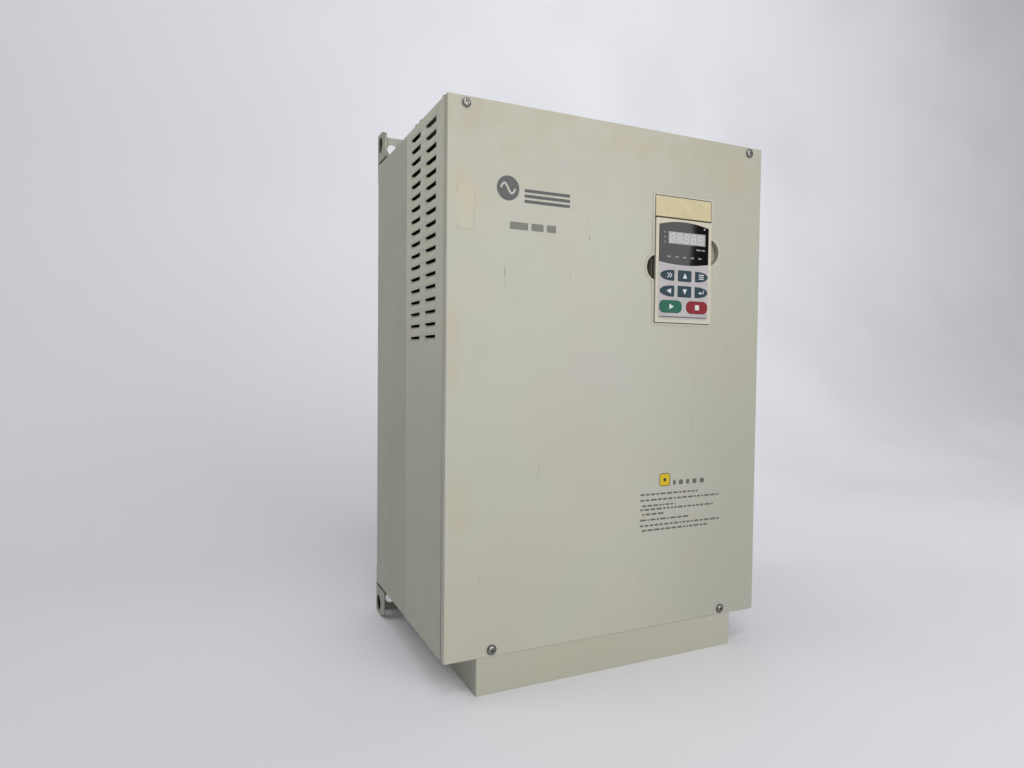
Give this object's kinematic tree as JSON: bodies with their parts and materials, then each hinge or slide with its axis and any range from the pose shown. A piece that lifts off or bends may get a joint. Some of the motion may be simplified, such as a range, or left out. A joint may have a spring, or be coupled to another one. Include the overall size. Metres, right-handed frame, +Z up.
{
  "type": "variable frequency drive",
  "caption": "Wall-mounted variable frequency drive in a louvred sheet-metal enclosure, with a plug-in keypad, cooling fans, lifting brackets and a cable box below.",
  "frame": {"origin": "under the centre of the enclosure's box, level with the bottom of the wiring box and the lower bracket tips", "axes": "+Z up, +Y towards the wall it is fixed to, so the front cover faces -Y, and +X to the right seen from the front"},
  "size_m": [0.37, 0.26, 0.589],
  "materials": {
    "enclosure_paint": "satin powder coat, slightly yellowed",
    "zinc_screws": "bright zinc plate",
    "dark_screws": "dull, dusty",
    "zinc_sheet": "zinc-plated sheet",
    "grommet_rubber": "matt",
    "heatsink_aluminium": "extruded",
    "fan_plastic": "moulded",
    "component_plastic": "moulded",
    "terminal_plastic": "moulded",
    "capacitor_can": "sleeved",
    "busbar_copper": "plain copper",
    "choke_core": "varnished laminations",
    "circuit_board": "solder mask",
    "keypad_frame_plastic": "fine moulded texture",
    "yellowed_plastic": "aged, yellowed",
    "keypad_case_plastic": "moulded",
    "overlay_film": "printed film",
    "display_film": "glossy tinted film",
    "display_face": "unlit display",
    "key_slate": "embossed film",
    "key_green": "embossed film",
    "key_red": "embossed film"
  },
  "bodies": {
    "drive": {"front_cover": "enclosure_paint", "cover_screws": "zinc_screws", "front_frame": "zinc_sheet", "side_panel_left": "enclosure_paint", "side_panel_right": "enclosure_paint", "top_panel": "enclosure_paint", "bottom_panel": "enclosure_paint", "panel_screws": "dark_screws", "wiring_box": "enclosure_paint", "gland_plate": "zinc_sheet", "gland_plate_screws": "zinc_screws", "power_grommets": "grommet_rubber", "control_grommets": "grommet_rubber", "rear_box": "enclosure_paint", "back_plate": "enclosure_paint", "bracket_top_left": "enclosure_paint", "bracket_top_right": "enclosure_paint", "bracket_bottom_left": "enclosure_paint", "bracket_bottom_right": "enclosure_paint", "bracket_rivets": "zinc_screws", "partition_plate": "zinc_sheet", "heatsink": "heatsink_aluminium", "fan_left_frame": "fan_plastic", "fan_right_frame": "fan_plastic", "fan_guards": "zinc_sheet", "power_modules": "component_plastic", "rectifier_modules": "component_plastic", "dc_capacitors": "capacitor_can", "capacitor_clamp": "zinc_sheet", "dc_busbars": "busbar_copper", "dc_choke": "choke_core", "precharge_contactor": "component_plastic", "current_sensors": "component_plastic", "power_terminals": "component_plastic", "terminal_screws": "zinc_screws", "power_board": "circuit_board", "control_plate": "zinc_sheet", "control_board": "circuit_board", "control_terminals": "terminal_plastic", "keypad_frame": "keypad_frame_plastic", "keypad_blank": "yellowed_plastic", "keypad_socket": "component_plastic"},
    "keypad": {"keypad_case_front": "keypad_case_plastic", "keypad_case_rear": "keypad_case_plastic", "keypad_overlay": "overlay_film", "display_lens": "display_film", "display_module": "display_face", "keypad_board": "circuit_board", "key_domes": "zinc_sheet", "keypad_plug": "component_plastic"},
    "fan_left_rotor": {"fan_left_rotor": "fan_plastic"},
    "fan_right_rotor": {"fan_right_rotor": "fan_plastic"},
    "key_jog": {"key_jog": "key_slate"},
    "key_up": {"key_up": "key_slate"},
    "key_mode": {"key_mode": "key_slate"},
    "key_left": {"key_left": "key_slate"},
    "key_down": {"key_down": "key_slate"},
    "key_enter": {"key_enter": "key_slate"},
    "key_run": {"key_run": "key_green"},
    "key_stop": {"key_stop": "key_red"}
  },
  "joints": [
    {"name": "keypad_release", "type": "slide", "parent": "drive", "child": "keypad", "axis": [0, -1, 0], "range_m": [0, 0.03]},
    {"name": "fan_left_spin", "type": "hinge", "parent": "drive", "child": "fan_left_rotor", "pos_m": [-0.075, 0.0655, 0.53], "axis": [0, 0, 1], "continuous": true},
    {"name": "fan_right_spin", "type": "hinge", "parent": "drive", "child": "fan_right_rotor", "pos_m": [0.075, 0.0655, 0.53], "axis": [0, 0, 1], "continuous": true},
    {"name": "key_jog_press", "type": "slide", "parent": "keypad", "child": "key_jog", "axis": [0, 1, 0], "range_m": [0, 0.0006], "stiffness_N_per_m": 1500, "springref_m": -0.0003},
    {"name": "key_up_press", "type": "slide", "parent": "keypad", "child": "key_up", "axis": [0, 1, 0], "range_m": [0, 0.0006], "stiffness_N_per_m": 1500, "springref_m": -0.0003},
    {"name": "key_mode_press", "type": "slide", "parent": "keypad", "child": "key_mode", "axis": [0, 1, 0], "range_m": [0, 0.0006], "stiffness_N_per_m": 1500, "springref_m": -0.0003},
    {"name": "key_left_press", "type": "slide", "parent": "keypad", "child": "key_left", "axis": [0, 1, 0], "range_m": [0, 0.0006], "stiffness_N_per_m": 1500, "springref_m": -0.0003},
    {"name": "key_down_press", "type": "slide", "parent": "keypad", "child": "key_down", "axis": [0, 1, 0], "range_m": [0, 0.0006], "stiffness_N_per_m": 1500, "springref_m": -0.0003},
    {"name": "key_enter_press", "type": "slide", "parent": "keypad", "child": "key_enter", "axis": [0, 1, 0], "range_m": [0, 0.0006], "stiffness_N_per_m": 1500, "springref_m": -0.0003},
    {"name": "key_run_press", "type": "slide", "parent": "keypad", "child": "key_run", "axis": [0, 1, 0], "range_m": [0, 0.0006], "stiffness_N_per_m": 1500, "springref_m": -0.0003},
    {"name": "key_stop_press", "type": "slide", "parent": "keypad", "child": "key_stop", "axis": [0, 1, 0], "range_m": [0, 0.0006], "stiffness_N_per_m": 1500, "springref_m": -0.0003}
  ]
}
